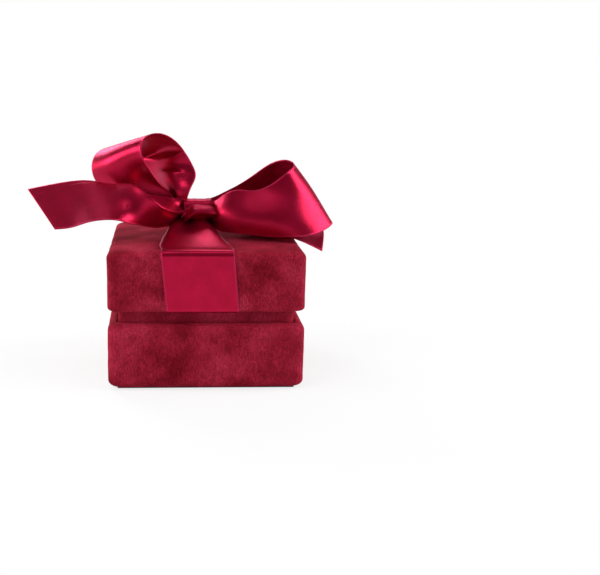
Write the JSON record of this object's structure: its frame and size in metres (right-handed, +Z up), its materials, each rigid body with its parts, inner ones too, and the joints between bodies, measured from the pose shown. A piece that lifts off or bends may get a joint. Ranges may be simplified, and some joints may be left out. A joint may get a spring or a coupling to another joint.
{
  "type": "ring box",
  "caption": "Square velvet ring box: base with a raised neck and slit ring pad, lift-off lid tied with a satin ribbon and bow.",
  "frame": {"origin": "middle of the underside of the foot sheet, on the surface the box stands on", "axes": "+Z up through the lid and knot; -Y out of the front, the side with the deeper bow tail; +X to the right of someone facing the front"},
  "size_m": [0.0976, 0.0606, 0.0763],
  "materials": {
    "burgundy_velvet": "short-pile velvet",
    "satin_ribbon": "satin",
    "board": "plain grey board",
    "pad_foam": "soft foam",
    "foot_paper": "matt black paper"
  },
  "bodies": {
    "base": {"base_foot_sheet": "foot_paper", "base_floor_board": "board", "base_front_board": "board", "base_back_board": "board", "base_left_board": "board", "base_right_board": "board", "base_cover": "burgundy_velvet", "collar_front_board": "board", "collar_back_board": "board", "collar_left_board": "board", "collar_right_board": "board", "collar_cover": "burgundy_velvet", "ring_pad_front_foam": "pad_foam", "ring_pad_front_cover": "burgundy_velvet", "ring_pad_back_foam": "pad_foam", "ring_pad_back_cover": "burgundy_velvet"},
    "lid": {"lid_top_board": "board", "lid_front_board": "board", "lid_back_board": "board", "lid_left_board": "board", "lid_right_board": "board", "lid_cover": "burgundy_velvet", "liner_front_block": "board", "liner_back_block": "board", "liner_left_block": "board", "liner_right_block": "board", "lid_liner_cover": "burgundy_velvet", "lid_ceiling_pad": "burgundy_velvet", "ribbon_band_front": "satin_ribbon", "ribbon_band_back": "satin_ribbon", "bow_knot": "satin_ribbon", "bow_left_loop": "satin_ribbon", "bow_left_tail": "satin_ribbon", "bow_right_loop": "satin_ribbon", "bow_right_tail": "satin_ribbon"}
  },
  "joints": [
    {"name": "lid_lift", "type": "slide", "parent": "base", "child": "lid", "axis": [0, 0, 1], "range_m": [0, 0.06]}
  ]
}
